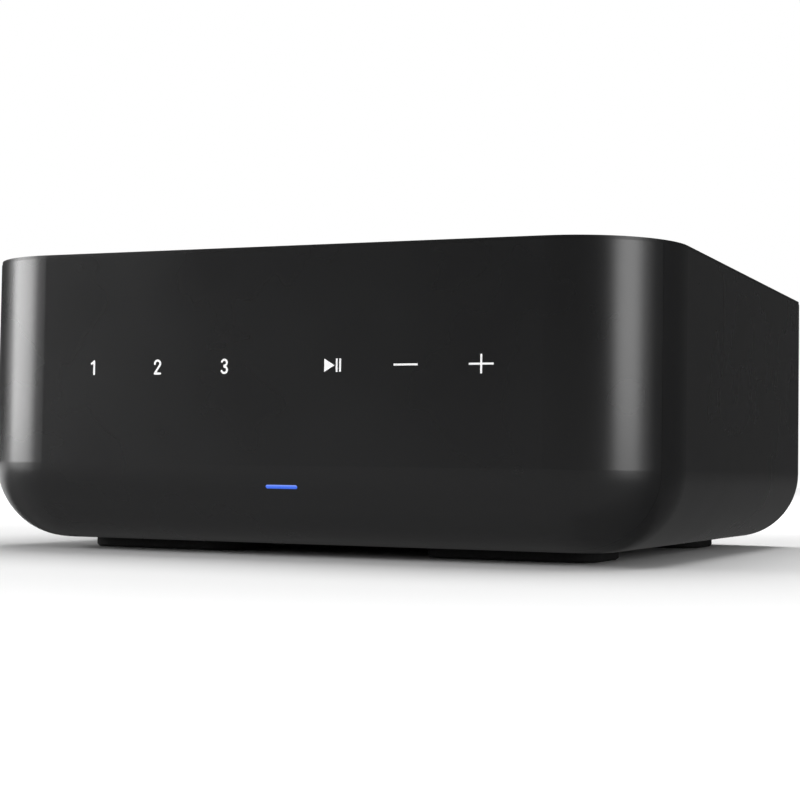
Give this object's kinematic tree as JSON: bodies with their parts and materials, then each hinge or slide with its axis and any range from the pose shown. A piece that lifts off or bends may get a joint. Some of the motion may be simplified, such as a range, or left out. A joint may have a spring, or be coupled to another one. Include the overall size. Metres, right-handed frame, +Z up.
{
  "type": "streaming amplifier",
  "caption": "Compact streaming amplifier: black box case with rounded front and lower edges, touch marks on the front, and speaker posts and sockets on the back.",
  "frame": {"origin": "centre of the footprint, on the surface that the feet rest on", "axes": "+Z up, -Y is the front with the touch marks, +X is to the right as the front is faced"},
  "size_m": [0.2, 0.1956, 0.0805],
  "materials": {
    "case_black": "satin, finely grained",
    "cover_black": "satin",
    "foot_rubber": "matte",
    "panel_black": "fine texture",
    "screw_black": "blackened steel",
    "screw_steel": "zinc plated",
    "mark_white": "printed white",
    "status_blue": "lit light pipe",
    "board_green": "solder mask",
    "board_black": "solder mask",
    "chip_black": "moulded",
    "led_white": "clear",
    "foam_grey": "conductive foam",
    "can_black": "sleeved capacitor",
    "ferrite_grey": "sintered",
    "winding_amber": "taped winding",
    "choke_green": "coated ring core",
    "sink_aluminium": "black-edged extrusion",
    "shield_steel": "tinned",
    "ribbon_white": "flat cable",
    "wire_red": "insulated wire",
    "antenna_black": "film antenna",
    "brass_nickel": "nickel plated",
    "gold_plate": "gold plated",
    "terminal_black": "moulded",
    "terminal_red": "moulded",
    "socket_black": "moulded",
    "insert_white": "moulded",
    "insert_red": "moulded",
    "insert_purple": "moulded",
    "button_grey": "moulded"
  },
  "bodies": {
    "root": {"amp_chips": "chip_black", "amp_heat_sink": "sink_aluminium", "antennas": "antenna_black", "board_link": "chip_black", "board_standoffs": "brass_nickel", "bulk_capacitors": "can_black", "case_body": "case_black", "case_screws": "screw_black", "data_insert": "socket_black", "data_shell": "brass_nickel", "filter_choke": "choke_green", "foot_front_left": "foot_rubber", "foot_front_right": "foot_rubber", "foot_rear_left": "foot_rubber", "foot_rear_right": "foot_rubber", "front_fascia": "case_black", "inner_screws": "screw_steel", "line_in_housing": "socket_black", "line_in_insert_left": "insert_white", "line_in_insert_right": "insert_red", "main_board": "board_green", "mains_inlet": "socket_black", "mains_inlet_pins": "brass_nickel", "network_contacts": "gold_plate", "network_jack": "socket_black", "optical_housing": "socket_black", "output_inductors": "ferrite_grey", "phono_barrels": "gold_plate", "post_cores": "gold_plate", "power_board": "board_green", "power_heat_sink": "sink_aluminium", "processor_chip": "chip_black", "rear_panel": "panel_black", "rear_panel_screws": "screw_black", "setup_switch": "socket_black", "status_light_bar": "status_blue", "sub_out_housing": "socket_black", "sub_out_insert": "insert_purple", "supply_lead": "wire_red", "terminal_block": "terminal_black", "top_cover": "cover_black", "touch_board": "board_black", "touch_electrodes": "foam_grey", "touch_leds": "led_white", "touch_marks": "mark_white", "touch_ribbon": "ribbon_white", "transformer_core": "ferrite_grey", "transformer_winding": "winding_amber", "upper_board": "board_green", "wireless_module": "shield_steel"},
    "shutter": {"optical_shutter": "button_grey"},
    "button": {"setup_button": "button_grey"},
    "washer_left_minus": {"post_washer_left_minus": "gold_plate"},
    "cap_left_minus": {"post_cap_left_minus": "terminal_black"},
    "washer_left_plus": {"post_washer_left_plus": "gold_plate"},
    "cap_left_plus": {"post_cap_left_plus": "terminal_red"},
    "washer_right_minus": {"post_washer_right_minus": "gold_plate"},
    "cap_right_minus": {"post_cap_right_minus": "terminal_black"},
    "washer_right_plus": {"post_washer_right_plus": "gold_plate"},
    "cap_right_plus": {"post_cap_right_plus": "terminal_red"}
  },
  "joints": [
    {"name": "washer_left_minus_slide", "type": "slide", "parent": "root", "child": "washer_left_minus", "axis": [0, 1, 0], "range_m": [0, 0.004]},
    {"name": "cap_left_minus_turn", "type": "hinge", "parent": "washer_left_minus", "child": "cap_left_minus", "pos_m": [-0.0146, 0.08281, 0.028], "axis": [0, 1, 0], "range_deg": [0, 1800]},
    {"name": "washer_left_plus_slide", "type": "slide", "parent": "root", "child": "washer_left_plus", "axis": [0, 1, 0], "range_m": [0, 0.004]},
    {"name": "cap_left_plus_turn", "type": "hinge", "parent": "washer_left_plus", "child": "cap_left_plus", "pos_m": [0.00445, 0.08281, 0.028], "axis": [0, 1, 0], "range_deg": [0, 1800]},
    {"name": "washer_right_minus_slide", "type": "slide", "parent": "root", "child": "washer_right_minus", "axis": [0, 1, 0], "range_m": [0, 0.004]},
    {"name": "cap_right_minus_turn", "type": "hinge", "parent": "washer_right_minus", "child": "cap_right_minus", "pos_m": [0.0234, 0.08281, 0.028], "axis": [0, 1, 0], "range_deg": [0, 1800]},
    {"name": "washer_right_plus_slide", "type": "slide", "parent": "root", "child": "washer_right_plus", "axis": [0, 1, 0], "range_m": [0, 0.004]},
    {"name": "cap_right_plus_turn", "type": "hinge", "parent": "washer_right_plus", "child": "cap_right_plus", "pos_m": [0.04245, 0.08281, 0.028], "axis": [0, 1, 0], "range_deg": [0, 1800]},
    {"name": "shutter_swing", "type": "hinge", "parent": "root", "child": "shutter", "pos_m": [0.01805, 0.08134, 0.05515], "axis": [-1, 0, 0], "range_deg": [0, 82], "stiffness_Nm_per_rad": 0.0005, "springref_deg": -28.65},
    {"name": "button_press", "type": "slide", "parent": "root", "child": "button", "axis": [0, -1, 0], "range_m": [0, 0.001], "stiffness_N_per_m": 600, "springref_m": -0.0008}
  ],
  "couplings": [
    {"joint": "cap_left_minus_turn", "follows": "washer_left_minus_slide", "rad_per_m": 7854},
    {"joint": "cap_left_plus_turn", "follows": "washer_left_plus_slide", "rad_per_m": 7854},
    {"joint": "cap_right_minus_turn", "follows": "washer_right_minus_slide", "rad_per_m": 7854},
    {"joint": "cap_right_plus_turn", "follows": "washer_right_plus_slide", "rad_per_m": 7854}
  ]
}
